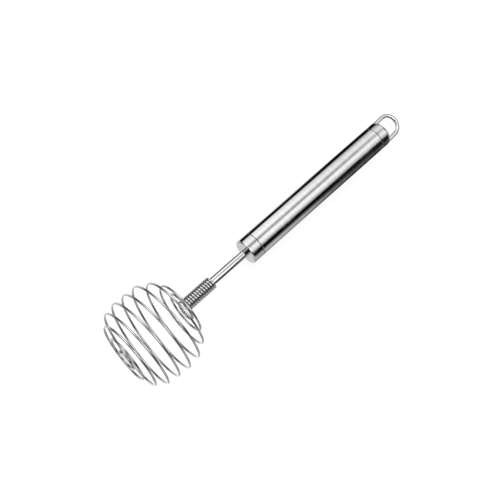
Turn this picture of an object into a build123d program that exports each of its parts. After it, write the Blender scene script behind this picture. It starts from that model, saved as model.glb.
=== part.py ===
from build123d import *
import math
import os

# Spring whisk with a ball-shaped head, wound from one wire on the rod of a tubular handle.
# Millimetres. X runs along the tool towards the hanging loop, Y across it in the loop's plane,
# Z up from the table it lies on. The origin is in the middle of the handle tube, on its axis.

# Handle tube
handle_d = 19.0
handle_wall = 0.8
tube_length = 125.0
seam_bevel = 0.3

# Caps, each a turned plug with a hollow spigot inside the tube
front_cap_length = 9.0
front_cap_round = 0.8
rear_cap_length = 9.0
rear_cap_round = 2.2
spigot_length = 10.0
spigot_wall = 1.4
fit_gap = 0.05

# Hanging loop, a bent wire with both ends in the rear cap
loop_wire_d = 3.0
loop_reach = 17.5
loop_leg_depth = 6.0
loop_edge = 0.3

# Rod between handle and head, with its inner end upset against the front cap
rod_d = 5.5
rod_free_length = 32.0
rod_head_d = 8.0
rod_head_length = 2.0
rod_tip_round = 0.6

# Wire of the head: a close neck coil on the rod, then a ball of open turns, then a flat inner spiral
wire_d = 1.5
neck_turns = 12
neck_pitch = 1.95
neck_grip_gap = 0.1
neck_flare_radius = 3.8
ball_d = 64.3
ball_length = 52.0
ball_shoulder_radius = 18.5
ball_nose_radius = 15.0
ball_turns = 11.0
flare_turns = 1.75
nose_turns = 1.5
nose_hole_radius = 4.0
ball_lean = 2.6
wire_start_angle = 332.0
samples_per_turn = 24

handle_r = handle_d / 2
tube_bore_r = handle_r - handle_wall
spigot_r = tube_bore_r - fit_gap
tube_half = tube_length / 2
front_face_x = -tube_half - front_cap_length
rear_face_x = tube_half + rear_cap_length
rod_r = rod_d / 2
loop_wire_r = loop_wire_d / 2
loop_half_width = handle_r - loop_edge - loop_wire_r
wire_r = wire_d / 2

neck_r = rod_r + neck_grip_gap + wire_r
neck_start_x = front_face_x - rod_free_length
neck_end_x = neck_start_x - neck_turns * neck_pitch
ball_near_x = neck_end_x - neck_flare_radius
ball_far_x = ball_near_x - ball_length + wire_d
ball_centre_x = (ball_near_x + ball_far_x) / 2
ball_r = ball_d / 2 - wire_r
total_turns = neck_turns + ball_turns
lean_slope = math.sin(math.radians(ball_lean))

# Lengths of the ball's outline, from the neck coil's end to the hole in the nose
flare_run = math.pi / 2 * neck_flare_radius
near_face_run = ball_r - ball_shoulder_radius - neck_r - neck_flare_radius
shoulder_run = math.pi / 2 * ball_shoulder_radius
side_run = ball_near_x - ball_far_x - ball_shoulder_radius - ball_nose_radius
nose_bend_run = math.pi / 2 * ball_nose_radius
far_face_run = ball_r - ball_nose_radius - nose_hole_radius
outline_run = flare_run + near_face_run + shoulder_run + side_run + nose_bend_run + far_face_run
ball_pitch = (outline_run - neck_pitch * flare_turns / 2) / (ball_turns - flare_turns / 2)


def outline_place(run):
    """Place (x, radius) on the ball's outline, a run of wire pitch past the neck coil."""
    if run < 0:
        return neck_end_x - run, neck_r
    if run < flare_run:
        turn = run / neck_flare_radius
        rise = neck_flare_radius * (1 - math.cos(turn))
        return neck_end_x - neck_flare_radius * math.sin(turn), neck_r + rise
    run -= flare_run
    if run < near_face_run:
        return ball_near_x, neck_r + neck_flare_radius + run
    run -= near_face_run
    if run < shoulder_run:
        turn = run / ball_shoulder_radius
        drop = ball_shoulder_radius * (1 - math.cos(turn))
        return ball_near_x - drop, ball_r - ball_shoulder_radius * (1 - math.sin(turn))
    run -= shoulder_run
    if run < side_run:
        return ball_near_x - ball_shoulder_radius - run, ball_r
    run -= side_run
    if run < nose_bend_run:
        turn = run / ball_nose_radius
        back = ball_nose_radius * (1 - math.sin(turn))
        return ball_far_x + back, ball_r - ball_nose_radius * (1 - math.cos(turn))
    run -= nose_bend_run
    return ball_far_x, ball_r - ball_nose_radius - run


def run_at(turn):
    """Length along the outline after so many turns: close in the neck, opening out, then even."""
    past = turn - neck_turns
    if past < 0:
        return past * neck_pitch
    opening = min(past, flare_turns) / flare_turns
    eased = flare_turns * (opening ** 3 - opening ** 4 / 2)
    open_run = eased + max(past - flare_turns, 0)
    return past * neck_pitch + (ball_pitch - neck_pitch) * open_run


def wire_place(turn):
    """Middle of the wire after so many turns, counted from its end on the rod."""
    x, radius = outline_place(run_at(turn))
    angle = math.radians(wire_start_angle) - 2 * math.pi * turn
    y = radius * math.cos(angle)
    z = radius * math.sin(angle)
    depth = min(max((neck_end_x - x) / neck_flare_radius, 0), 1)
    lean = lean_slope * depth ** 2 * (3 - 2 * depth)
    return Vector(x + lean * y, y - lean * (x - ball_centre_x), z)


def wire_heading(turn):
    """Direction of the wire after so many turns."""
    step = 1 / samples_per_turn ** 2
    before = wire_place(max(turn - step, 0))
    after = wire_place(min(turn + step, total_turns))
    return (after - before).normalized()


def biarc(start, start_heading, end, end_heading):
    """Two tangent arcs from one place and heading to another."""
    chord = end - start
    both = start_heading + end_heading
    square = 2 * (1 - start_heading.dot(end_heading))
    across = chord.dot(both)
    reach = (math.sqrt(across ** 2 + square * chord.dot(chord)) - across) / square
    first = start + start_heading * reach
    second = end - end_heading * reach
    middle = (first + second) * 0.5
    return [
        Edge.make_tangent_arc(start, start_heading, middle),
        Edge.make_tangent_arc(middle, second - first, end),
    ]


def wire_piece(first_turn, last_turn):
    """Unbroken round wire from one turn to another, on biarcs of a quarter turn."""
    quarters = round((last_turn - first_turn) * 4)
    turns = [first_turn + i / 4 for i in range(quarters + 1)]
    places = [wire_place(turn) for turn in turns]
    headings = [wire_heading(turn) for turn in turns]
    edges = []
    for i in range(quarters):
        edges += biarc(places[i], headings[i], places[i + 1], headings[i + 1])
    path = Wire(edges)
    section = Plane(origin=places[0], z_dir=headings[0]) * Circle(wire_r)
    piece = sweep(section, path=path)
    share = piece.volume / (math.pi * wire_r ** 2 * path.length)
    print(f"wire from turn {first_turn} to {last_turn}: {path.length:.1f} mm long, volume share {share:.4f}")
    return piece


def least_gap():
    """Least gap between the wire and itself, measured on points at least half a turn apart."""
    count = round(total_turns * samples_per_turn)
    places = [wire_place(i / samples_per_turn) for i in range(count + 1)]
    apart = samples_per_turn // 2
    nearest = min(
        (places[i] - places[j]).length
        for i in range(count + 1)
        for j in range(i + apart, min(i + 2 * samples_per_turn + apart, count + 1))
    )
    return nearest - wire_d


def turned(points):
    """Solid turned about X from a closed outline of (x, radius) points."""
    return revolve(make_face(Polyline(*points, close=True)), Axis.X)


def rim_edges(piece, x, radius):
    """Round edges of a turned piece at one place along it and one radius."""
    rims = piece.edges().filter_by(GeomType.CIRCLE)
    close = fit_gap / 2
    return [e for e in rims if abs(e.center().X - x) < close and abs(e.radius - radius) < close]


def make_handle_tube():
    tube = turned([
        (-tube_half, tube_bore_r), (-tube_half, handle_r), (tube_half, handle_r), (tube_half, tube_bore_r),
    ])
    ends = rim_edges(tube, -tube_half, handle_r) + rim_edges(tube, tube_half, handle_r)
    return chamfer(ends, seam_bevel)


def make_front_cap():
    hole_r = rod_r + fit_gap
    cap = turned([
        (front_face_x, hole_r), (front_face_x, handle_r), (-tube_half, handle_r), (-tube_half, spigot_r),
        (-tube_half + spigot_length, spigot_r), (-tube_half + spigot_length, spigot_r - spigot_wall),
        (-tube_half, spigot_r - spigot_wall), (-tube_half, hole_r),
    ])
    cap = fillet(rim_edges(cap, front_face_x, handle_r), front_cap_round)
    return chamfer(rim_edges(cap, -tube_half, handle_r), seam_bevel)


def make_rear_cap():
    cap = turned([
        (rear_face_x, 0), (rear_face_x, handle_r), (tube_half, handle_r), (tube_half, spigot_r),
        (tube_half - spigot_length, spigot_r), (tube_half - spigot_length, spigot_r - spigot_wall),
        (tube_half, spigot_r - spigot_wall), (tube_half, 0),
    ])
    cap = fillet(rim_edges(cap, rear_face_x, handle_r), rear_cap_round)
    cap = chamfer(rim_edges(cap, tube_half, handle_r), seam_bevel)
    leg_x = rear_face_x - loop_leg_depth
    for y in (-loop_half_width, loop_half_width):
        hole = Plane(origin=(leg_x, y, 0), z_dir=(1, 0, 0)) * Circle(loop_wire_r + fit_gap)
        cap -= extrude(hole, amount=loop_leg_depth)
    return cap


def make_hanging_loop():
    leg_x = rear_face_x - loop_leg_depth
    bend_x = rear_face_x + loop_reach - loop_wire_r - loop_half_width
    tip_x = bend_x + loop_half_width
    path = Wire([
        Edge.make_line((leg_x, -loop_half_width, 0), (bend_x, -loop_half_width, 0)),
        Edge.make_three_point_arc((bend_x, -loop_half_width, 0), (tip_x, 0, 0), (bend_x, loop_half_width, 0)),
        Edge.make_line((bend_x, loop_half_width, 0), (leg_x, loop_half_width, 0)),
    ])
    section = Plane(origin=(leg_x, -loop_half_width, 0), z_dir=(1, 0, 0)) * Circle(loop_wire_r)
    return sweep(section, path=path)


def make_handle_rod():
    head_x = -tube_half
    rod = turned([
        (neck_end_x, 0), (neck_end_x, rod_r), (head_x, rod_r), (head_x, rod_head_d / 2),
        (head_x + rod_head_length, rod_head_d / 2), (head_x + rod_head_length, 0),
    ])
    return fillet(rim_edges(rod, neck_end_x, rod_r), rod_tip_round)


last_ball_turn = total_turns - nose_turns
pieces = {
    "handle_tube": make_handle_tube(),
    "front_cap": make_front_cap(),
    "rear_cap": make_rear_cap(),
    "hanging_loop": make_hanging_loop(),
    "handle_rod": make_handle_rod(),
    "neck_coil": wire_piece(0, neck_turns),
    "ball_coil": wire_piece(neck_turns, last_ball_turn),
    "coil_nose": wire_piece(last_ball_turn, total_turns),
}
print(f"pitch of the ball's turns {ball_pitch:.2f} mm, least gap of the wire to itself {least_gap():.2f} mm")

os.makedirs("parts", exist_ok=True)
for name, piece in pieces.items():
    piece.label = name
    export_step(piece, f"parts/{name}.step")
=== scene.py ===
import math

import bpy
from mathutils import Matrix, Vector


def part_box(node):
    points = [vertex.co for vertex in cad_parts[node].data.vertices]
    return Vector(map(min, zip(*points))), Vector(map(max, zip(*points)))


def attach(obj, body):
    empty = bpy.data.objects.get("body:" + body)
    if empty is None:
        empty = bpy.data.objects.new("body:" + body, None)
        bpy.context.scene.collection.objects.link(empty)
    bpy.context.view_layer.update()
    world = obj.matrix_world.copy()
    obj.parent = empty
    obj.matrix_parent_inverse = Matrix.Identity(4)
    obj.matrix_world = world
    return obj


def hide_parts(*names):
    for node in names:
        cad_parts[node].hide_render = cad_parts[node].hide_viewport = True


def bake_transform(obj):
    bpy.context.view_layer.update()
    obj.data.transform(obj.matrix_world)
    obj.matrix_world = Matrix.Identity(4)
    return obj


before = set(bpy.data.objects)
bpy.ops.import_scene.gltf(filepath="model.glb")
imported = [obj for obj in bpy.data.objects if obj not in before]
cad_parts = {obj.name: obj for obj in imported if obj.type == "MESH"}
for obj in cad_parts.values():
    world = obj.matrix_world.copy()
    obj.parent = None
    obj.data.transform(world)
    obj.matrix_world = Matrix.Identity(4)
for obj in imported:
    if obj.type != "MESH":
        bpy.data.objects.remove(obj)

bl_info = {
    "name": "Spring whisk",
    "version": (1, 0, 0),
    "blender": (4, 5, 0),
    "location": "3D View > Sidebar > Whisk",
    "description": "Dresses the packed spring whisk: head wire, hanging loop, steel finishes and studio",
    "category": "Object",
}

MM = 0.001
QUARTER = math.pi / 2

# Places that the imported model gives, in metres
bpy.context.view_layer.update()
TUBE_LOW, TUBE_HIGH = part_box("handle_tube")
REAR_FACE_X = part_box("rear_cap")[1].x
ROD_TIP_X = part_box("handle_rod")[0].x
NECK_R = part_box("neck_coil")[1].z
LOOP_LOW, LOOP_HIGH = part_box("hanging_loop")
HANDLE_R = TUBE_HIGH.y


def length_property(name, description, default):
    """A length in metres that a user can set."""
    return bpy.props.FloatProperty(
        name=name, description=description, default=default, subtype="DISTANCE", unit="LENGTH", precision=5
    )


def angle_property(name, description, degrees):
    """An angle that a user can set."""
    return bpy.props.FloatProperty(
        name=name, description=description, default=math.radians(degrees), subtype="ANGLE"
    )


def share_property(name, description, default):
    """A share from 0 to 1 that a user can set."""
    return bpy.props.FloatProperty(
        name=name, description=description, default=default, min=0.0, max=1.0, subtype="FACTOR"
    )


def colour_property(name, description, default):
    """A colour that a user can set."""
    return bpy.props.FloatVectorProperty(
        name=name, description=description, default=default, size=3, min=0.0, max=1.0, subtype="COLOR"
    )


class WhiskWire(bpy.types.PropertyGroup):
    """Sizes of the head wire: close neck coil, ball of open turns, flat inner spiral."""

    wire_diameter: length_property("Wire diameter", "Thickness of the head wire", 1.5 * MM)
    neck_turns: bpy.props.IntProperty(
        name="Neck turns", description="Close turns that grip the rod", default=12, min=1
    )
    neck_pitch: length_property("Neck pitch", "Step from one close turn to the next", 1.95 * MM)
    flare_radius: length_property("Flare radius", "Bend from the neck into the ball's near face", 3.8 * MM)
    ball_diameter: length_property("Ball diameter", "Width of the ball over the wire", 64.3 * MM)
    ball_length: length_property("Ball length", "Length of the ball over the wire", 52.0 * MM)
    shoulder_radius: length_property("Shoulder radius", "Bend of the ball's outline by the neck", 18.5 * MM)
    nose_radius: length_property("Nose radius", "Bend of the ball's outline by its flat nose", 15.0 * MM)
    nose_hole_radius: length_property("Nose hole radius", "Radius at which the inner spiral ends", 4.0 * MM)
    ball_turns: bpy.props.FloatProperty(
        name="Ball turns", description="Turns from the neck to the wire's inner end", default=11.0, min=1.0
    )
    flare_turns: bpy.props.FloatProperty(
        name="Flare turns", description="Turns in which the close pitch opens out", default=1.75, min=0.1
    )
    start_angle: angle_property("Start angle", "Where round the rod the wire starts", 332)
    lean: angle_property("Lean", "Sideways tilt of the ball's turns against the tool's axis", 2.6)
    sag: angle_property("Sag", "Tilt of the ball's turns up and down against the tool's axis", -0.9)
    steps: bpy.props.IntProperty(
        name="Steps", description="Mesh rings in one turn of the wire", default=88, min=12
    )
    sides: bpy.props.IntProperty(
        name="Sides", description="Mesh faces round the wire", default=20, min=6
    )
    cut_share: share_property("Cut end", "Width of the wire's cut ends, as a share of its diameter", 0.72)


class WhiskLoop(bpy.types.PropertyGroup):
    """Sizes of the hanging loop."""

    lean: angle_property("Lean", "How far the loop is bent sideways from the cap on", 3.2)
    steps: bpy.props.IntProperty(
        name="Steps", description="Mesh rings in the loop's bend", default=72, min=12
    )
    sides: bpy.props.IntProperty(
        name="Sides", description="Mesh faces round the loop's wire", default=32, min=6
    )


class WhiskSteel(bpy.types.PropertyGroup):
    """Colours and roughness of the steel finishes."""

    satin: colour_property("Satin tube", "Colour of the brushed handle tube", (0.62, 0.62, 0.62))
    cap: colour_property("Caps", "Colour of the turned caps", (0.58, 0.58, 0.58))
    rod: colour_property("Rod", "Colour of the polished rod", (0.56, 0.56, 0.565))
    wire: colour_property("Wire", "Colour of the head wire", (0.5, 0.5, 0.5))
    loop: colour_property("Loop", "Colour of the hanging loop", (0.6, 0.6, 0.6))
    satin_roughness: share_property("Satin roughness", "Roughness of the brushed tube", 0.09)
    cap_roughness: share_property("Cap roughness", "Roughness of the turned caps", 0.08)
    rod_roughness: share_property("Rod roughness", "Roughness of the polished rod", 0.07)
    wire_roughness: share_property("Wire roughness", "Roughness of the head wire", 0.06)


class WhiskStage(bpy.types.PropertyGroup):
    """Camera, floor and light."""

    camera_place: bpy.props.FloatVectorProperty(
        name="Camera place", description="Where the camera stands", default=(-0.2759, -0.0007, 0.5657),
        size=3, subtype="XYZ", unit="LENGTH",
    )
    camera_tilt: angle_property("Camera tilt", "Lean of the view towards the hanging loop", 20.2)
    camera_roll: angle_property("Camera roll", "Angle of the tool across the picture", 41.46)
    lens: bpy.props.FloatProperty(
        name="Lens", description="Focal length in millimetres on a 36 mm sensor", default=63.1, min=1.0
    )
    nearest: length_property("Nearest", "How near to the camera things are still seen", 0.01)
    floor_colour: colour_property("Floor colour", "Colour of the plain floor", (0.8, 0.8, 0.8))
    floor_glow: share_property("Floor glow", "Share of even white in the floor that the camera sees", 0.72)
    floor_level: bpy.props.FloatProperty(
        name="Floor level", description="Brightness of that even white", default=1.1, min=0.0
    )
    floor_size: length_property("Floor size", "Side of the square floor", 1.2)
    lamp_place: bpy.props.FloatVectorProperty(
        name="Lamp place", description="Where the soft lamp hangs", default=(-0.1, 0.25, 1.2),
        size=3, subtype="XYZ", unit="LENGTH",
    )
    lamp_size: length_property("Lamp size", "Side of the square soft lamp", 0.9)
    lamp_power: bpy.props.FloatProperty(
        name="Lamp power", description="Power of the soft lamp, in watts", default=6.0, min=0.0
    )


GROUPS = {
    "whisk_wire": WhiskWire,
    "whisk_loop": WhiskLoop,
    "whisk_steel": WhiskSteel,
    "whisk_stage": WhiskStage,
}


# Short ways to build node trees

def feed(tree, socket, value):
    """Link a socket to another node's output, or set its own value."""
    if isinstance(value, bpy.types.NodeSocket):
        tree.links.new(value, socket)
    else:
        socket.default_value = value


def put(tree, kind, inputs=None, **options):
    """Add a node, with its options and what its inputs get."""
    node = tree.nodes.new(kind)
    for name, value in options.items():
        setattr(node, name, value)
    for name, value in (inputs or {}).items():
        feed(tree, node.inputs[name], value)
    return node


def calc(tree, operation, *values):
    """Output of a Math node."""
    node = tree.nodes.new("ShaderNodeMath")
    node.operation = operation
    for socket, value in zip(node.inputs, values):
        feed(tree, socket, value)
    return node.outputs[0]


def eased(tree, value, low, high, to_low=0.0, to_high=1.0):
    """A value's smooth rise from one level to another."""
    node = put(tree, "ShaderNodeMapRange", interpolation_type="SMOOTHSTEP")
    for name, given in (
        ("Value", value), ("From Min", low), ("From Max", high), ("To Min", to_low), ("To Max", to_high)
    ):
        feed(tree, node.inputs[name], given)
    return node.outputs["Result"]


def ramped(tree, value, stops, least=0.0, most=1.0, interpolation="LINEAR"):
    """Output of a colour ramp that gives a level between least and most at each of its stops."""
    low = stops[0][0]
    high = stops[-1][0]
    share = calc(tree, "DIVIDE", calc(tree, "SUBTRACT", value, low), high - low)
    node = put(tree, "ShaderNodeValToRGB", {"Fac": share})
    ramp = node.color_ramp
    ramp.interpolation = interpolation
    ramp.elements.remove(ramp.elements[1])
    for i, (at, level) in enumerate(stops):
        place = (at - low) / (high - low)
        stop = ramp.elements[0] if i == 0 else ramp.elements.new(place)
        stop.position = place
        shade = (level - least) / (most - least)
        stop.color = (shade, shade, shade, 1.0)
    return calc(tree, "ADD", calc(tree, "MULTIPLY", node.outputs["Color"], most - least), least)


def new_group(name, kind, inputs, outputs):
    """An empty node group with named sockets, and its input and output nodes."""
    tree = bpy.data.node_groups.new(name, kind)
    for socket, socket_kind in inputs:
        tree.interface.new_socket(name=socket, in_out="INPUT", socket_type="NodeSocket" + socket_kind)
    for socket, socket_kind in outputs:
        tree.interface.new_socket(name=socket, in_out="OUTPUT", socket_type="NodeSocket" + socket_kind)
    return tree, tree.nodes.new("NodeGroupInput").outputs, tree.nodes.new("NodeGroupOutput").inputs


# Geometry: wires swept and wound by node trees

# Edges that bend more than this stay crisp, as round a wire's cut ends
CRISP_ANGLE = math.radians(35)


def wire_sweep_tree():
    """Node group that gives a curve the thickness of a round wire with cut ends."""
    tree, given, made = new_group(
        "wire_sweep", "GeometryNodeTree",
        [("Curve", "Geometry"), ("Thickness", "Float"), ("Wire Diameter", "Float"), ("Sides", "Int"),
         ("Cut Share", "Float"), ("Material", "Material")],
        [("Mesh", "Geometry")],
    )
    reach = put(tree, "GeometryNodeSplineParameter").outputs["Length"]
    path = put(
        tree, "GeometryNodeStoreNamedAttribute",
        {"Geometry": given["Curve"], "Name": "reach", "Value": reach}, data_type="FLOAT", domain="POINT",
    )
    ends = put(tree, "GeometryNodeCurveEndpointSelection").outputs["Selection"]
    drop = calc(tree, "MULTIPLY", ends, calc(tree, "SUBTRACT", 1.0, given["Cut Share"]))
    wire_radius = calc(tree, "MULTIPLY", given["Wire Diameter"], 0.5)
    circle = put(
        tree, "GeometryNodeCurvePrimitiveCircle", {"Resolution": given["Sides"], "Radius": wire_radius},
        mode="RADIUS",
    )
    round_place = put(tree, "GeometryNodeInputPosition").outputs["Position"]
    section = put(
        tree, "GeometryNodeStoreNamedAttribute",
        {"Geometry": circle.outputs["Curve"], "Name": "section", "Value": round_place},
        data_type="FLOAT_VECTOR", domain="POINT",
    )
    scale = calc(tree, "MULTIPLY", given["Thickness"], calc(tree, "SUBTRACT", 1.0, drop))
    swept = put(
        tree, "GeometryNodeCurveToMesh",
        {"Curve": path.outputs["Geometry"], "Profile Curve": section.outputs["Geometry"],
         "Scale": scale, "Fill Caps": True},
    )
    smooth = put(tree, "GeometryNodeSetShadeSmooth", {"Geometry": swept.outputs["Mesh"]}, domain="FACE")
    bend = put(tree, "GeometryNodeInputMeshEdgeAngle").outputs["Unsigned Angle"]
    crisp = put(
        tree, "GeometryNodeSetShadeSmooth",
        {"Geometry": smooth.outputs["Geometry"], "Shade Smooth": False,
         "Selection": calc(tree, "GREATER_THAN", bend, CRISP_ANGLE)},
        domain="EDGE",
    )
    real = put(tree, "GeometryNodeRealizeInstances", {"Geometry": crisp.outputs["Geometry"]})
    dressed = put(
        tree, "GeometryNodeSetMaterial",
        {"Geometry": real.outputs["Geometry"], "Material": given["Material"]},
    )
    feed(tree, made["Mesh"], dressed.outputs["Geometry"])
    return tree


def shared_sweep():
    """The node group that both wires share, made once."""
    return bpy.data.node_groups.get("wire_sweep") or wire_sweep_tree()


def swept_wire(tree, path, thickness, given):
    """Mesh of a wire that follows a path, with the sizes that the tree is given."""
    wire = put(tree, "GeometryNodeGroup", {"Curve": path, "Thickness": thickness}, node_tree=shared_sweep())
    for name in ("Wire Diameter", "Sides", "Cut Share", "Material"):
        feed(tree, wire.inputs[name], given[name])
    return wire.outputs["Mesh"]


def bent_wire_tree():
    """Node tree that turns a line of points into a bent wire."""
    tree, given, made = new_group(
        "bent_wire", "GeometryNodeTree",
        [("Line", "Geometry"), ("Wire Diameter", "Float"), ("Sides", "Int"), ("Cut Share", "Float"),
         ("Material", "Material")],
        [("Mesh", "Geometry")],
    )
    path = put(tree, "GeometryNodeMeshToCurve", {"Mesh": given["Line"]}).outputs["Curve"]
    feed(tree, made["Mesh"], swept_wire(tree, path, 1.0, given))
    return tree


# How far the hand-wound turns stray along the axis and outward from it, in millimetres by turns past the
# neck. The neck's own turns, before 0, stray only outward, because they look wider in the photograph.
STRAY_ALONG = (
    (0, 0.0), (1, 0.0), (3, -0.1), (4, -0.35), (5, -0.72), (6, -0.55), (7, -0.1), (8, 0.5), (8.6, 0.95),
    (9.5, 0.9), (10, 0.65), (10.5, 0.3), (11, 0.1),
)
STRAY_OUTWARD = (
    (-12, 0.0), (-11.6, 0.3), (-11, 0.4), (0, 0.4), (1, 0.3), (2, 0.1), (3, -0.3), (4, -0.45), (4.5, -0.05),
    (5, 0.35), (6, 0.2), (7, -0.05), (8, -0.2), (8.5, 0.2), (9, 0.35), (10, 0.2), (11, 0.0),
)
STRAY_MOST = 1.2
# The neck's turns look closed in the photograph, so their wire is shown a little thicker than it is
NECK_THICKNESS = 1.2


def wound_wire_tree():
    """Node tree that winds a wire round the X axis along an outline drawn in the XY plane."""
    tree, given, made = new_group(
        "wound_wire", "GeometryNodeTree",
        [("Outline", "Geometry"), ("Neck Turns", "Int"), ("Neck Pitch", "Float"), ("Neck End", "Float"),
         ("Ball Turns", "Float"), ("Flare Turns", "Float"), ("Flare Radius", "Float"),
         ("Start Angle", "Float"), ("Lean", "Float"), ("Sag", "Float"), ("Ball Centre", "Float"),
         ("Steps", "Int"), ("Wire Diameter", "Float"), ("Sides", "Int"), ("Cut Share", "Float"),
         ("Material", "Material")],
        [("Mesh", "Geometry")],
    )
    outline = put(tree, "GeometryNodeMeshToCurve", {"Mesh": given["Outline"]}).outputs["Curve"]
    outline_length = put(tree, "GeometryNodeCurveLength", {"Curve": outline}).outputs["Length"]
    neck_length = calc(tree, "MULTIPLY", given["Neck Turns"], given["Neck Pitch"])
    ball_run = calc(tree, "SUBTRACT", outline_length, neck_length)
    half_flare = calc(tree, "MULTIPLY", given["Flare Turns"], 0.5)
    ball_pitch = calc(
        tree, "DIVIDE",
        calc(tree, "SUBTRACT", ball_run, calc(tree, "MULTIPLY", given["Neck Pitch"], half_flare)),
        calc(tree, "SUBTRACT", given["Ball Turns"], half_flare),
    )

    turns = calc(tree, "ADD", given["Neck Turns"], given["Ball Turns"])
    points = calc(tree, "ADD", calc(tree, "ROUND", calc(tree, "MULTIPLY", turns, given["Steps"])), 1.0)
    line = put(tree, "GeometryNodeMeshLine", {"Count": points}, mode="OFFSET", count_mode="TOTAL")
    index = put(tree, "GeometryNodeInputIndex").outputs["Index"]
    turn = calc(tree, "DIVIDE", index, given["Steps"])
    past = calc(tree, "SUBTRACT", turn, given["Neck Turns"])

    share = calc(tree, "DIVIDE", past, given["Flare Turns"])
    opening = calc(tree, "MINIMUM", calc(tree, "MAXIMUM", share, 0.0), 1.0)
    cube = calc(tree, "POWER", opening, 3.0)
    rise = calc(tree, "SUBTRACT", cube, calc(tree, "MULTIPLY", calc(tree, "MULTIPLY", cube, opening), 0.5))
    open_turns = calc(
        tree, "ADD",
        calc(tree, "MULTIPLY", rise, given["Flare Turns"]),
        calc(tree, "MAXIMUM", calc(tree, "SUBTRACT", past, given["Flare Turns"]), 0.0),
    )
    wider = calc(tree, "SUBTRACT", ball_pitch, given["Neck Pitch"])
    close_run = calc(tree, "ADD", neck_length, calc(tree, "MULTIPLY", past, given["Neck Pitch"]))
    run = calc(tree, "ADD", close_run, calc(tree, "MULTIPLY", wider, open_turns))

    sampled = put(
        tree, "GeometryNodeSampleCurve", {"Curves": outline, "Length": run},
        mode="LENGTH", use_all_curves=True,
    )
    spot = put(tree, "ShaderNodeSeparateXYZ", {"Vector": sampled.outputs["Position"]}).outputs
    along = ramped(tree, past, STRAY_ALONG, -STRAY_MOST, STRAY_MOST, "CARDINAL")
    outward = ramped(tree, past, STRAY_OUTWARD, -STRAY_MOST, STRAY_MOST, "CARDINAL")
    x = calc(tree, "ADD", spot["X"], calc(tree, "MULTIPLY", along, MM))
    radius = calc(tree, "ADD", spot["Y"], calc(tree, "MULTIPLY", outward, MM))
    angle = calc(tree, "SUBTRACT", given["Start Angle"], calc(tree, "MULTIPLY", turn, 2 * math.pi))
    y = calc(tree, "MULTIPLY", radius, calc(tree, "COSINE", angle))
    z = calc(tree, "MULTIPLY", radius, calc(tree, "SINE", angle))
    in_ball = eased(tree, calc(tree, "SUBTRACT", given["Neck End"], spot["X"]), 0.0, given["Flare Radius"])
    lean = calc(tree, "MULTIPLY", calc(tree, "SINE", given["Lean"]), in_ball)
    sag = calc(tree, "MULTIPLY", calc(tree, "SINE", given["Sag"]), in_ball)
    from_centre = calc(tree, "SUBTRACT", spot["X"], given["Ball Centre"])
    turned_x = calc(tree, "ADD", calc(tree, "MULTIPLY", lean, y), calc(tree, "MULTIPLY", sag, z))
    place = put(
        tree, "ShaderNodeCombineXYZ",
        {"X": calc(tree, "ADD", x, turned_x),
         "Y": calc(tree, "SUBTRACT", y, calc(tree, "MULTIPLY", lean, from_centre)),
         "Z": calc(tree, "SUBTRACT", z, calc(tree, "MULTIPLY", sag, from_centre))},
    )
    wound = put(
        tree, "GeometryNodeSetPosition",
        {"Geometry": line.outputs["Mesh"], "Position": place.outputs["Vector"]},
    )
    path = put(tree, "GeometryNodeMeshToCurve", {"Mesh": wound.outputs["Geometry"]}).outputs["Curve"]
    thickness = eased(tree, past, 0.0, 1.0, NECK_THICKNESS, 1.0)
    feed(tree, made["Mesh"], swept_wire(tree, path, thickness, given))
    return tree


def line_object(name, points):
    """Object whose mesh is one open line of points."""
    mesh = bpy.data.meshes.new(name)
    mesh.from_pydata(points, [(i, i + 1) for i in range(len(points) - 1)], [])
    piece = bpy.data.objects.new(name, mesh)
    bpy.context.scene.collection.objects.link(piece)
    return piece


def grow(piece, tree, values):
    """Run a node tree on a piece's own mesh and keep the result as its plain mesh."""
    modifier = piece.modifiers.new(tree.name, "NODES")
    modifier.node_group = tree
    for item in tree.interface.items_tree:
        if item.in_out == "INPUT" and item.name in values:
            modifier[item.identifier] = values[item.name]
    evaluated = piece.evaluated_get(bpy.context.evaluated_depsgraph_get())
    mesh = bpy.data.meshes.new_from_object(evaluated)
    mesh.name = piece.name
    piece.modifiers.remove(modifier)
    piece.data = mesh


def arc(centre, radius, start, end, steps):
    """Points of an arc in the XY plane, after its first one."""
    angles = [start + (end - start) * (i + 1) / steps for i in range(steps)]
    return [(centre[0] + radius * math.cos(a), centre[1] + radius * math.sin(a), 0.0) for a in angles]


# Materials: steel with the marks of how each piece was made, and painted shade, partly grime, along the
# seams

SMUDGE_SIZE = 14 * MM
SCRATCH_SIZE = 4 * MM
# Half width and depth of the painted shade, partly grime, that darkens the colour along each seam
SEAM_HALF = 0.3 * MM
SEAM_SHADE_AND_GRIME_TONE = 0.2
# Radii at which the lines that run along the rod and the wires are spread out flat
ROD_LINES_R = HANDLE_R * 0.3
WIRE_LINES_R = 0.75 * MM


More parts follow.
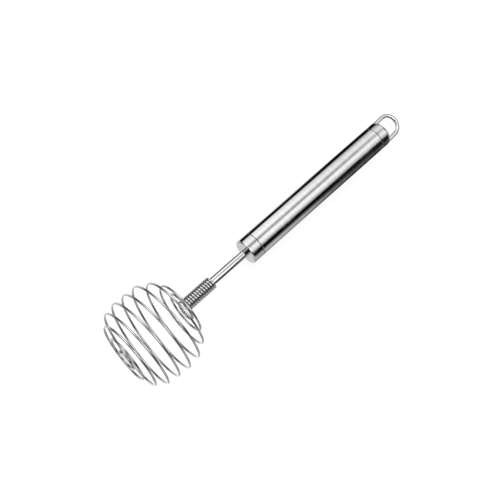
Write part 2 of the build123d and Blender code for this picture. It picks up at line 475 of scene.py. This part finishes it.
def lines_group():
    """Shader group of fine lines that run across the first axis of the vector that it gets."""
    tree, given, made = new_group(
        "fine_lines", "ShaderNodeTree",
        [("Vector", "Vector"), ("Line Width", "Float"), ("Line Length", "Float")],
        [("Tone", "Float"), ("Height", "Float")],
    )
    thin = calc(tree, "DIVIDE", 1.0, given["Line Width"])
    long = calc(tree, "DIVIDE", 1.0, given["Line Length"])
    stretch = put(tree, "ShaderNodeCombineXYZ", {"X": thin, "Y": long, "Z": long}).outputs["Vector"]
    spread = put(
        tree, "ShaderNodeVectorMath", {0: given["Vector"], 1: stretch}, operation="MULTIPLY"
    ).outputs["Vector"]
    fine = put(
        tree, "ShaderNodeTexNoise", {"Vector": spread, "Scale": 1.0, "Detail": 3.0, "Roughness": 0.65}
    )
    broad = put(
        tree, "ShaderNodeTexNoise", {"Vector": spread, "Scale": 0.27, "Detail": 1.0, "Roughness": 0.5}
    )
    both = calc(
        tree, "ADD",
        calc(tree, "MULTIPLY", fine.outputs["Fac"], 0.65),
        calc(tree, "MULTIPLY", broad.outputs["Fac"], 0.35),
    )
    feed(tree, made["Tone"], both)
    feed(tree, made["Height"], fine.outputs["Fac"])
    return tree


def marks_group():
    """Shader group of the faint smudges and hairline scratches that handling leaves."""
    tree, given, made = new_group(
        "handling_marks", "ShaderNodeTree",
        [("Vector", "Vector"), ("Smudge Size", "Float"), ("Scratch Size", "Float")],
        [("Smudge", "Float"), ("Scratch", "Float")],
    )
    cloud_scale = calc(tree, "DIVIDE", 1.0, given["Smudge Size"])
    cloud = put(
        tree, "ShaderNodeTexNoise",
        {"Vector": given["Vector"], "Scale": cloud_scale, "Detail": 3.0, "Roughness": 0.55,
         "Distortion": 0.4},
    )
    feed(tree, made["Smudge"], eased(tree, cloud.outputs["Fac"], 0.42, 0.72))
    turned = put(
        tree, "ShaderNodeVectorRotate",
        {"Vector": given["Vector"], "Axis": (0.3, 0.5, 0.8), "Angle": math.radians(34)},
        rotation_type="AXIS_ANGLE",
    )
    scratch_scale = calc(tree, "DIVIDE", 1.0, given["Scratch Size"])
    hair = put(
        tree, "ShaderNodeTexWave",
        {"Vector": turned.outputs["Vector"], "Scale": scratch_scale, "Distortion": 14.0, "Detail": 2.0,
         "Detail Scale": 0.6},
        wave_type="BANDS", bands_direction="X", wave_profile="SIN",
    )
    thinned = eased(tree, hair.outputs["Fac"], 0.985, 1.0)
    patches = eased(tree, cloud.outputs["Fac"], 0.50, 0.58)
    feed(tree, made["Scratch"], calc(tree, "MULTIPLY", thinned, patches))
    return tree


def steel_material(
    name, colour, roughness, vector_of, groups, line_width, line_length, tone_depth, bump, smudge_depth,
    seams=(),
):
    """Steel whose lines follow the given coordinates, with smudges, and with painted shade, partly grime,
    darkening the seams along the tool.
    """
    material = bpy.data.materials.new(name)
    material.use_nodes = True
    tree = material.node_tree
    shader = tree.nodes["Principled BSDF"]
    shader.inputs["Metallic"].default_value = 1.0
    place = put(tree, "ShaderNodeTexCoord").outputs["Object"]
    lines = put(
        tree, "ShaderNodeGroup",
        {"Vector": vector_of(tree), "Line Width": line_width, "Line Length": line_length},
        node_tree=groups["lines"],
    )
    marks = put(
        tree, "ShaderNodeGroup",
        {"Vector": place, "Smudge Size": SMUDGE_SIZE, "Scratch Size": SCRATCH_SIZE},
        node_tree=groups["marks"],
    )
    tone = eased(tree, lines.outputs["Tone"], 0.3, 0.7, 1.0 - tone_depth, 1.0 + tone_depth)
    worn_and_shaded = calc(tree, "SUBTRACT", tone, calc(tree, "MULTIPLY", marks.outputs["Smudge"], smudge_depth * 0.3))
    along = put(tree, "ShaderNodeSeparateXYZ", {"Vector": place}).outputs["X"]
    # Painted shade, partly grime: the colour darkens in a thin band at each seam, where the joint's groove
    # lies in shade
    for seam in seams:
        beside = calc(tree, "ABSOLUTE", calc(tree, "SUBTRACT", along, seam))
        worn_and_shaded = calc(tree, "MULTIPLY", worn_and_shaded, eased(tree, beside, SEAM_HALF * 0.4, SEAM_HALF, SEAM_SHADE_AND_GRIME_TONE, 1.0))
    grey = put(tree, "ShaderNodeCombineXYZ", {"X": worn_and_shaded, "Y": worn_and_shaded, "Z": worn_and_shaded}).outputs["Vector"]
    tinted = put(tree, "ShaderNodeVectorMath", {0: tuple(colour), 1: grey}, operation="MULTIPLY")
    feed(tree, shader.inputs["Base Color"], tinted.outputs["Vector"])
    rough_lines = calc(tree, "MULTIPLY", calc(tree, "SUBTRACT", lines.outputs["Tone"], 0.5), tone_depth)
    rough_marks = calc(
        tree, "ADD",
        calc(tree, "MULTIPLY", marks.outputs["Smudge"], smudge_depth),
        calc(tree, "MULTIPLY", marks.outputs["Scratch"], smudge_depth * 2.0),
    )
    rough = calc(tree, "ADD", calc(tree, "ADD", rough_lines, rough_marks), roughness)
    feed(tree, shader.inputs["Roughness"], rough)
    scratched = calc(tree, "MULTIPLY", marks.outputs["Scratch"], 0.5)
    height = calc(tree, "SUBTRACT", lines.outputs["Height"], scratched)
    relief = put(
        tree, "ShaderNodeBump", {"Height": height, "Strength": bump, "Distance": line_width * 0.25}
    )
    feed(tree, shader.inputs["Normal"], relief.outputs["Normal"])
    return material


def across_tool(tree):
    """Coordinates whose lines run round the tool's axis, as on a turned piece."""
    return put(tree, "ShaderNodeTexCoord").outputs["Object"]


def turned_piece(tree):
    """Coordinates whose lines run round the axis on a cap's rim and in rings on its flat face."""
    spot = put(tree, "ShaderNodeTexCoord")
    place = put(tree, "ShaderNodeSeparateXYZ", {"Vector": spot.outputs["Object"]}).outputs
    facing = put(tree, "ShaderNodeSeparateXYZ", {"Vector": spot.outputs["Normal"]}).outputs["X"]
    flat = eased(tree, calc(tree, "ABSOLUTE", facing), 0.7, 0.9)
    square = calc(tree, "ADD", calc(tree, "POWER", place["Y"], 2.0), calc(tree, "POWER", place["Z"], 2.0))
    radius = calc(tree, "SQRT", square)
    across = put(tree, "ShaderNodeMix", data_type="FLOAT")
    for socket, value in (("Factor", flat), ("A", place["X"]), ("B", radius)):
        feed(tree, across.inputs[socket], value)
    return put(
        tree, "ShaderNodeCombineXYZ", {"X": across.outputs["Result"], "Y": place["Y"], "Z": place["Z"]}
    ).outputs["Vector"]


def drawn_rod(tree):
    """Coordinates whose lines run along the rod."""
    place = put(
        tree, "ShaderNodeSeparateXYZ", {"Vector": put(tree, "ShaderNodeTexCoord").outputs["Object"]}
    ).outputs
    across = calc(tree, "MULTIPLY", calc(tree, "ARCTAN2", place["Y"], place["Z"]), ROD_LINES_R)
    return put(tree, "ShaderNodeCombineXYZ", {"X": across, "Y": place["X"], "Z": 0.0}).outputs["Vector"]


def drawn_wire(tree):
    """Coordinates whose lines run along a swept wire, from the places kept on its mesh."""
    reach = put(tree, "ShaderNodeAttribute", attribute_name="reach").outputs["Fac"]
    section = put(tree, "ShaderNodeAttribute", attribute_name="section").outputs["Vector"]
    side = put(tree, "ShaderNodeSeparateXYZ", {"Vector": section}).outputs
    across = calc(tree, "MULTIPLY", calc(tree, "ARCTAN2", side["X"], side["Y"]), WIRE_LINES_R)
    return put(tree, "ShaderNodeCombineXYZ", {"X": across, "Y": reach, "Z": 0.0}).outputs["Vector"]


def settings(name):
    """One of this file's groups of settings."""
    return getattr(bpy.context.scene, name)


def shared_groups():
    """The shader groups that the steels share, made once."""
    found = bpy.data.node_groups
    return {
        "lines": found.get("fine_lines") or lines_group(),
        "marks": found.get("handling_marks") or marks_group(),
    }


def dress(node, material):
    """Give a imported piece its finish."""
    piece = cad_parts[node]
    piece.data.materials.clear()
    piece.data.materials.append(material)


# Operators, one for each piece or group of like pieces

class WHISK_OT_head_wire(bpy.types.Operator):
    """Wind the head wire: neck coil, ball and inner spiral in one unbroken wire"""

    bl_idname = "whisk.head_wire"
    bl_label = "Head wire"

    def execute(self, context):
        wire = settings("whisk_wire")
        steel = settings("whisk_steel")
        wire_r = wire.wire_diameter / 2
        neck_r = NECK_R - wire_r
        neck_start_x = ROD_TIP_X + wire.neck_turns * wire.neck_pitch
        near_x = ROD_TIP_X - wire.flare_radius
        far_x = near_x - wire.ball_length + wire.wire_diameter
        ball_r = wire.ball_diameter / 2 - wire_r
        flare = (ROD_TIP_X, neck_r + wire.flare_radius)
        shoulder = (near_x - wire.shoulder_radius, ball_r - wire.shoulder_radius)
        nose = (far_x + wire.nose_radius, ball_r - wire.nose_radius)
        fine = wire.steps * 2
        outline = [(neck_start_x, neck_r, 0.0), (ROD_TIP_X, neck_r, 0.0)]
        outline += arc(flare, wire.flare_radius, -QUARTER, -2 * QUARTER, fine)
        outline += [(near_x, shoulder[1], 0.0)]
        outline += arc(shoulder, wire.shoulder_radius, 0.0, QUARTER, fine)
        outline += [(nose[0], ball_r, 0.0)]
        outline += arc(nose, wire.nose_radius, QUARTER, 2 * QUARTER, fine)
        outline += [(far_x, wire.nose_hole_radius, 0.0)]
        piece = line_object("head_wire", outline)
        material = steel_material(
            "spring_wire_steel", steel.wire, steel.wire_roughness, drawn_wire, shared_groups(),
            line_width=0.12 * MM, line_length=9 * MM, tone_depth=0.05, bump=0.04, smudge_depth=0.05,
        )
        grow(piece, wound_wire_tree(), {
            "Neck Turns": wire.neck_turns, "Neck Pitch": wire.neck_pitch, "Neck End": ROD_TIP_X,
            "Ball Turns": wire.ball_turns, "Ball Centre": (near_x + far_x) / 2,
            "Flare Turns": wire.flare_turns, "Flare Radius": wire.flare_radius,
            "Start Angle": wire.start_angle, "Lean": wire.lean, "Sag": wire.sag,
            "Wire Diameter": wire.wire_diameter, "Steps": wire.steps, "Sides": wire.sides,
            "Cut Share": wire.cut_share, "Material": material,
        })
        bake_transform(piece)
        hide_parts("neck_coil", "ball_coil", "coil_nose")
        return {"FINISHED"}


class WHISK_OT_hanging_loop(bpy.types.Operator):
    """Bend the hanging loop"""

    bl_idname = "whisk.hanging_loop"
    bl_label = "Hanging loop"

    def execute(self, context):
        loop = settings("whisk_loop")
        steel = settings("whisk_steel")
        wire_r = LOOP_HIGH.z
        half_width = LOOP_HIGH.y - wire_r
        bend_x = LOOP_HIGH.x - wire_r - half_width
        points = [(x, -half_width, 0.0) for x in (LOOP_LOW.x, REAR_FACE_X, bend_x)]
        points += arc((bend_x, 0.0), half_width, -QUARTER, QUARTER, loop.steps)
        points += [(x, half_width, 0.0) for x in (REAR_FACE_X, LOOP_LOW.x)]
        lean = math.tan(loop.lean)
        points = [(x, y + lean * max(x - REAR_FACE_X, 0.0), z) for x, y, z in points]
        piece = line_object("loop_wire", points)
        material = steel_material(
            "bent_loop_steel", steel.loop, steel.wire_roughness, drawn_wire, shared_groups(),
            line_width=0.2 * MM, line_length=7 * MM, tone_depth=0.05, bump=0.12, smudge_depth=0.05,
        )
        grow(piece, bent_wire_tree(), {
            "Wire Diameter": 2 * wire_r, "Sides": loop.sides, "Cut Share": 1.0, "Material": material,
        })
        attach(piece, "root")
        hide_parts("hanging_loop")
        return {"FINISHED"}


class WHISK_OT_handle_tube(bpy.types.Operator):
    """Brush the handle tube"""

    bl_idname = "whisk.handle_tube"
    bl_label = "Handle tube"

    def execute(self, context):
        steel = settings("whisk_steel")
        # The tube's ends get painted shade, partly grime, at the seams with the caps
        material = steel_material(
            "satin_tube_steel", steel.satin, steel.satin_roughness, across_tool, shared_groups(),
            line_width=0.35 * MM, line_length=5 * MM, tone_depth=0.10, bump=0.08, smudge_depth=0.05,
            seams=(TUBE_LOW.x, TUBE_HIGH.x),
        )
        dress("handle_tube", material)
        return {"FINISHED"}


class WHISK_OT_caps(bpy.types.Operator):
    """Turn the front and rear caps"""

    bl_idname = "whisk.caps"
    bl_label = "Caps"

    def execute(self, context):
        steel = settings("whisk_steel")
        # The caps get the same painted shade, partly grime, at their seams with the tube
        material = steel_material(
            "turned_cap_steel", steel.cap, steel.cap_roughness, turned_piece, shared_groups(),
            line_width=0.25 * MM, line_length=6 * MM, tone_depth=0.08, bump=0.06, smudge_depth=0.05,
            seams=(TUBE_LOW.x, TUBE_HIGH.x),
        )
        for node in ("front_cap", "rear_cap"):
            dress(node, material)
        return {"FINISHED"}


class WHISK_OT_rod(bpy.types.Operator):
    """Polish the rod between handle and head"""

    bl_idname = "whisk.rod"
    bl_label = "Rod"

    def execute(self, context):
        steel = settings("whisk_steel")
        material = steel_material(
            "polished_rod_steel", steel.rod, steel.rod_roughness, drawn_rod, shared_groups(),
            line_width=0.2 * MM, line_length=14 * MM, tone_depth=0.04, bump=0.03, smudge_depth=0.04,
        )
        dress("handle_rod", material)
        return {"FINISHED"}


# Light: a studio of panels and flags that the polished steel mirrors

# How bright the studio is round the tool's axis, by angle from straight up towards -Y, in degrees. Two soft
# panels hang to the left and overhead with a seam between them, and black flags stand on both sides. The
# first six tables are for the parts of the studio that the pieces mirror towards the photograph's view, one
# after the other along the tool. The last is for both far ends, which are mirrored towards other views.
NOSE_BANDS = (
    (-180, 0.75), (-150, 0.7), (-122, 0.75), (-108, 0.4), (-98, 0.08), (-86, 0.08), (-76, 0.9), (-62, 1.7),
    (-46, 1.5), (-32, 0.4), (-24, 0.03), (60, 0.03), (70, 0.3), (84, 0.9), (102, 0.85), (120, 0.55),
    (180, 0.75),
)
HEAD_BANDS = (
    (-180, 1.45), (-165, 1.6), (-150, 1.3), (-138, 1.35), (-128, 1.7), (-119, 1.9), (-111, 1.25),
    (-105, 0.4), (-99, 0.0), (-84, 0.1), (-72, 0.6), (-62, 1.9), (-50, 3.9), (-36, 4.1), (-26, 2.5),
    (-18, 1.5), (-11, 2.6), (-3, 4.8), (8, 5.7), (17, 4.8), (25, 3.1), (32, 1.3), (38, 0.1), (41, 0.0),
    (70, 0.0), (75, 0.6), (81, 1.2), (90, 1.5), (102, 1.35), (118, 0.85), (150, 0.78), (180, 1.45),
)
ROD_BANDS = (
    (-180, 0.0), (-98, 0.0), (-93, 0.3), (-84, 1.7), (-72, 2.5), (-57, 2.6), (-42, 1.7), (-28, 0.82),
    (-16, 0.64), (-6, 0.92), (5, 1.95), (17, 2.5), (33, 2.55), (44, 1.8), (52, 0.85), (58, 0.12), (61, 0.0),
    (101, 0.0), (107, 0.12), (118, 0.6), (132, 1.2), (150, 0.9), (165, 0.4), (180, 0.0),
)
FRONT_BANDS = (
    (-180, 1.3), (-156, 1.25), (-142, 1.0), (-134, 0.1), (-129, 0.0), (-102, 0.0), (-97, 0.2), (-88, 1.6),
    (-70, 1.65), (-52, 1.95), (-42, 1.95), (-33, 1.6), (-25, 0.82), (-18, 0.52), (-12, 0.85), (-3, 1.75),
    (9, 1.9), (18, 1.75), (26, 1.4), (34, 0.97), (41, 0.6), (48, 0.08), (52, 0.0), (72, 0.0), (80, 0.12),
    (92, 0.6), (104, 1.0), (118, 0.82), (136, 0.4), (150, 0.6), (165, 1.1), (180, 1.3),
)
REAR_BANDS = (
    (-180, 0.6), (-160, 0.5), (-148, 0.05), (-142, 0.0), (-106, 0.0), (-100, 0.1), (-90, 0.85), (-77, 1.27),
    (-62, 1.48), (-50, 1.65), (-38, 1.46), (-28, 1.05), (-21, 0.66), (-14, 0.62), (-6, 1.3), (4, 1.9),
    (14, 1.78), (24, 1.5), (33, 1.15), (42, 0.8), (49, 0.2), (53, 0.0), (64, 0.0), (80, 0.02), (98, 0.05),
    (112, 0.14), (126, 0.03), (140, 0.01), (155, 0.08), (180, 0.6),
)
LOOP_BANDS = (
    (-180, 0.6), (-160, 0.4), (-150, 0.0), (-74, 0.0), (-62, 1.0), (-50, 1.5), (-30, 1.9), (10, 1.9),
    (30, 1.7), (48, 1.2), (58, 0.3), (68, 0.0), (88, 0.0), (100, 0.6), (120, 1.0), (180, 0.6),
)
END_BANDS = (
    (-180, 0.68), (-150, 0.8), (-128, 0.85), (-112, 0.5), (-101, 0.16), (-88, 0.16), (-76, 0.98),
    (-60, 1.55), (-44, 1.4), (-32, 0.65), (-24, 0.16), (4, 0.16), (14, 0.75), (26, 1.4), (37, 1.2),
    (46, 0.4), (52, 0.14), (68, 0.14), (76, 0.42), (86, 0.9), (98, 1.08), (112, 0.98), (132, 0.75),
    (155, 0.68), (180, 0.68),
)
BRIGHTEST = 5.7
# From where to where along the axis the light goes over to the next table, as a direction's X. The far end
# on the nose's side comes before the first.
ZONES = (
    (-0.68, -0.6, NOSE_BANDS),
    (-0.28, -0.1, HEAD_BANDS),
    (0.25, 0.29, ROD_BANDS),
    (0.315, 0.34, FRONT_BANDS),
    (0.38, 0.48, REAR_BANDS),
    (0.529, 0.533, LOOP_BANDS),
    (0.545, 0.6, END_BANDS),
)
# How much of that light there is along the axis, above the tool and below it
ENDS_ABOVE = ((-1.0, 0.6), (-0.8, 0.8), (0.85, 0.8), (1.0, 0.6))
ENDS_BELOW = (
    (-1.0, 0.5), (-0.8, 0.7), (-0.7, 0.65), (-0.62, 0.35), (-0.44, 0.3), (-0.39, 1.25), (-0.28, 1.25),
    (-0.22, 0.9), (-0.1, 0.8), (0.52, 0.8), (0.6, 0.5), (0.7, 0.65), (0.8, 0.7), (1.0, 0.5),
)


def mixed(tree, share, first, second):
    """Output that goes from one value to another."""
    node = put(tree, "ShaderNodeMix", data_type="FLOAT")
    for socket, value in (("Factor", share), ("A", first), ("B", second)):
        feed(tree, node.inputs[socket], value)
    return node.outputs["Result"]


def direct_ray(tree):
    """Output that is 1 for what the camera sees itself, also through clear material."""
    ray = put(tree, "ShaderNodeLightPath").outputs
    return calc(tree, "MAXIMUM", ray["Is Camera Ray"], ray["Is Transmission Ray"])


def studio_world():
    """World that is white to the camera and a studio of panels and flags to everything else."""
    world = bpy.data.worlds.new("studio")
    world.use_nodes = True
    tree = world.node_tree
    tree.nodes.clear()
    toward = put(
        tree, "ShaderNodeSeparateXYZ", {"Vector": put(tree, "ShaderNodeTexCoord").outputs["Generated"]}
    ).outputs
    side = calc(tree, "ARCTAN2", calc(tree, "MULTIPLY", toward["Y"], -1.0), toward["Z"])
    round_axis = calc(tree, "MULTIPLY", side, math.degrees(1.0))
    level = ramped(tree, round_axis, END_BANDS, most=BRIGHTEST)
    for start, end, bands in ZONES:
        further = ramped(tree, round_axis, bands, most=BRIGHTEST)
        level = mixed(tree, eased(tree, toward["X"], start, end), level, further)
    below = ramped(tree, toward["X"], ENDS_BELOW, most=BRIGHTEST)
    above = ramped(tree, toward["X"], ENDS_ABOVE, most=BRIGHTEST)
    ends = mixed(tree, eased(tree, toward["Z"], -0.05, 0.05), below, above)
    seen = mixed(tree, direct_ray(tree), calc(tree, "MULTIPLY", level, ends), 1.0)
    background = put(tree, "ShaderNodeBackground", {"Color": (1.0, 1.0, 1.0, 1.0), "Strength": seen})
    output = put(tree, "ShaderNodeOutputWorld")
    feed(tree, output.inputs["Surface"], background.outputs["Background"])
    return world


def floor_material(stage):
    """Plain pale floor that keeps the tool's shadow, looks white and can't be seen from below."""
    material = bpy.data.materials.new("pale_floor")
    material.use_nodes = True
    tree = material.node_tree
    shader = tree.nodes["Principled BSDF"]
    feed(tree, shader.inputs["Base Color"], (*stage.floor_colour, 1.0))
    feed(tree, shader.inputs["Roughness"], 1.0)
    feed(tree, shader.inputs["Specular IOR Level"], 0.0)
    glow = put(tree, "ShaderNodeEmission", {"Strength": stage.floor_level}).outputs["Emission"]
    glow_share = calc(tree, "MULTIPLY", direct_ray(tree), stage.floor_glow)
    top = put(tree, "ShaderNodeMixShader", {"Fac": glow_share, 1: shader.outputs["BSDF"], 2: glow})
    below = put(tree, "ShaderNodeNewGeometry").outputs["Backfacing"]
    clear = put(tree, "ShaderNodeBsdfTransparent").outputs["BSDF"]
    sided = put(tree, "ShaderNodeMixShader", {"Fac": below, 1: top.outputs["Shader"], 2: clear})
    feed(tree, tree.nodes["Material Output"].inputs["Surface"], sided.outputs["Shader"])
    return material


class WHISK_OT_stage(bpy.types.Operator):
    """Set up the floor, light and camera"""

    bl_idname = "whisk.stage"
    bl_label = "Stage"

    def execute(self, context):
        scene = context.scene
        stage = settings("whisk_stage")
        scene.view_settings.view_transform = "Standard"
        scene.world = studio_world()
        self.lay_floor(scene, stage)
        self.hang_lamp(scene, stage)
        self.place_camera(scene, stage)
        return {"FINISHED"}

    def lay_floor(self, scene, stage):
        """The tool lies on its ball and on the rim of its rear cap, so the floor slopes between them."""
        ball_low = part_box("ball_coil")[0].z
        ball_x = (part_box("ball_coil")[0].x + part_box("ball_coil")[1].x) / 2
        slope = math.atan2(-HANDLE_R - ball_low, REAR_FACE_X - ball_x)
        half = stage.floor_size / 2
        corners = [(-half, -half, 0), (half, -half, 0), (half, half, 0), (-half, half, 0)]
        mesh = bpy.data.meshes.new("floor")
        mesh.from_pydata(corners, [], [(0, 1, 2, 3)])
        mesh.transform(Matrix.Translation((ball_x, 0, ball_low)) @ Matrix.Rotation(-slope, 4, "Y"))
        floor = bpy.data.objects.new("floor", mesh)
        mesh.materials.append(floor_material(stage))
        scene.collection.objects.link(floor)
        floor.visible_glossy = False
        floor.visible_shadow = False

    def hang_lamp(self, scene, stage):
        """One soft lamp overhead, which draws the tool's shadow on the floor."""
        lamp = bpy.data.lights.new("soft_lamp", "AREA")
        lamp.shape = "SQUARE"
        lamp.size = stage.lamp_size
        lamp.energy = stage.lamp_power
        piece = bpy.data.objects.new("soft_lamp", lamp)
        piece.location = stage.lamp_place
        piece.rotation_euler = (Vector((0, 0, 0)) - piece.location).to_track_quat("-Z", "Y").to_euler()
        scene.collection.objects.link(piece)
        piece.visible_glossy = False

    def place_camera(self, scene, stage):
        """The photograph's view, from nearly above, with the tool running up to the right."""
        camera = bpy.data.cameras.new("camera")
        camera.lens = stage.lens
        camera.clip_start = stage.nearest
        piece = bpy.data.objects.new("camera", camera)
        piece.matrix_world = (
            Matrix.Translation(stage.camera_place)
            @ Matrix.Rotation(-stage.camera_tilt, 4, "Y")
            @ Matrix.Rotation(-stage.camera_roll, 4, "Z")
        )
        scene.collection.objects.link(piece)
        scene.camera = piece


OPERATORS = (
    WHISK_OT_head_wire,
    WHISK_OT_hanging_loop,
    WHISK_OT_handle_tube,
    WHISK_OT_caps,
    WHISK_OT_rod,
    WHISK_OT_stage,
)


class WHISK_PT_panel(bpy.types.Panel):
    """The whisk's pieces, its finishes and its stage"""

    bl_idname = "WHISK_PT_panel"
    bl_label = "Spring whisk"
    bl_space_type = "VIEW_3D"
    bl_region_type = "UI"
    bl_category = "Whisk"

    def draw(self, context):
        for operator in OPERATORS:
            self.layout.operator(operator.bl_idname)


def register():
    """Give Blender the settings, the operators and the panel."""
    for group in GROUPS.values():
        bpy.utils.register_class(group)
    for name, group in GROUPS.items():
        setattr(bpy.types.Scene, name, bpy.props.PointerProperty(type=group))
    for operator in OPERATORS:
        bpy.utils.register_class(operator)
    bpy.utils.register_class(WHISK_PT_panel)


def unregister():
    """Take the panel, the operators and the settings away again."""
    bpy.utils.unregister_class(WHISK_PT_panel)
    for operator in reversed(OPERATORS):
        bpy.utils.unregister_class(operator)
    for name, group in GROUPS.items():
        delattr(bpy.types.Scene, name)
        bpy.utils.unregister_class(group)


def main():
    """Make every piece."""
    register()
    for operator in OPERATORS:
        family, name = operator.bl_idname.split(".")
        getattr(getattr(bpy.ops, family), name)()


if __name__ == "__main__":
    main()
